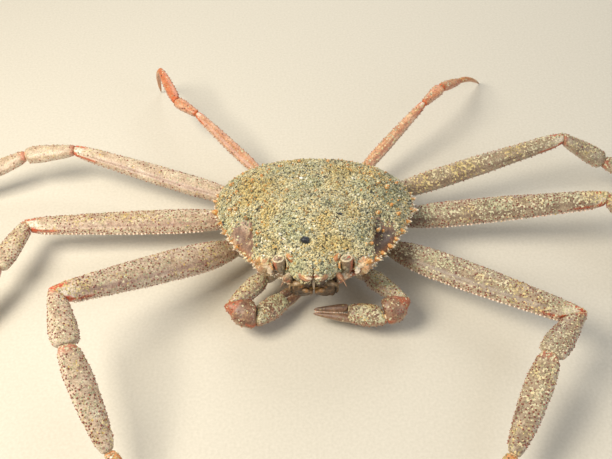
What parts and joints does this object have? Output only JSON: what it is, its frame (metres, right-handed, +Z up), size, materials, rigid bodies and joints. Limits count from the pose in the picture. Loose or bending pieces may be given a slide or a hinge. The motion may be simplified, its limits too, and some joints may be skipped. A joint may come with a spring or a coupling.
{
  "type": "tanner crab",
  "caption": "Life-size young male tanner crab resting on its belly: sand-dusted spiny carapace, long flat legs spread wide, small claws folded under the face.",
  "frame": {"origin": "middle of the flat under the belly, on the floor", "axes": "+Z up; the face looks along -Y; the crab's left side is at +X"},
  "size_m": [0.3814, 0.2348, 0.0413],
  "materials": {
    "carapace_shell": "shell dusted with grey-yellow sand, orange spine tips",
    "underside_shell": "smooth pale cream shell",
    "mouth_shell": "smooth wet brown shell",
    "eye": "glossy dark brown with a cream top",
    "limb_shell": "pinkish tan shell with dark red granules and a dust of sand",
    "claw_shell": "granular red-brown shell",
    "tip_shell": "smooth orange-tan horn"
  },
  "bodies": {
    "root": {"carapace": "carapace_shell", "sternum": "underside_shell", "abdomen": "underside_shell", "maxilliped_r": "mouth_shell", "maxilliped_l": "mouth_shell", "eye_r": "eye", "eye_l": "eye", "antenna_r": "mouth_shell", "antenna_l": "mouth_shell", "claw_r_base": "limb_shell", "claw_r_merus": "limb_shell", "claw_r_carpus": "claw_shell", "claw_r_palm": "claw_shell", "claw_r_finger": "claw_shell", "claw_l_base": "limb_shell", "claw_l_merus": "limb_shell", "claw_l_carpus": "claw_shell", "claw_l_palm": "claw_shell", "claw_l_finger": "claw_shell", "leg1_r_base": "limb_shell", "leg1_r_merus": "limb_shell", "leg1_r_carpus": "limb_shell", "leg1_r_propodus": "limb_shell", "leg1_r_dactylus": "tip_shell", "leg2_r_base": "limb_shell", "leg2_r_merus": "limb_shell", "leg2_r_carpus": "limb_shell", "leg2_r_propodus": "limb_shell", "leg2_r_dactylus": "tip_shell", "leg3_r_base": "limb_shell", "leg3_r_merus": "limb_shell", "leg3_r_carpus": "limb_shell", "leg3_r_propodus": "limb_shell", "leg3_r_dactylus": "tip_shell", "leg4_r_base": "limb_shell", "leg4_r_merus": "limb_shell", "leg4_r_carpus": "limb_shell", "leg4_r_propodus": "limb_shell", "leg4_r_dactylus": "tip_shell", "leg1_l_base": "limb_shell", "leg1_l_merus": "limb_shell", "leg1_l_carpus": "limb_shell", "leg1_l_propodus": "limb_shell", "leg1_l_dactylus": "tip_shell", "leg2_l_base": "limb_shell", "leg2_l_merus": "limb_shell", "leg2_l_carpus": "limb_shell", "leg2_l_propodus": "limb_shell", "leg2_l_dactylus": "tip_shell", "leg3_l_base": "limb_shell", "leg3_l_merus": "limb_shell", "leg3_l_carpus": "limb_shell", "leg3_l_propodus": "limb_shell", "leg3_l_dactylus": "tip_shell", "leg4_l_base": "limb_shell", "leg4_l_merus": "limb_shell", "leg4_l_carpus": "limb_shell", "leg4_l_propodus": "limb_shell", "leg4_l_dactylus": "tip_shell"}
  },
  "joints": []
}
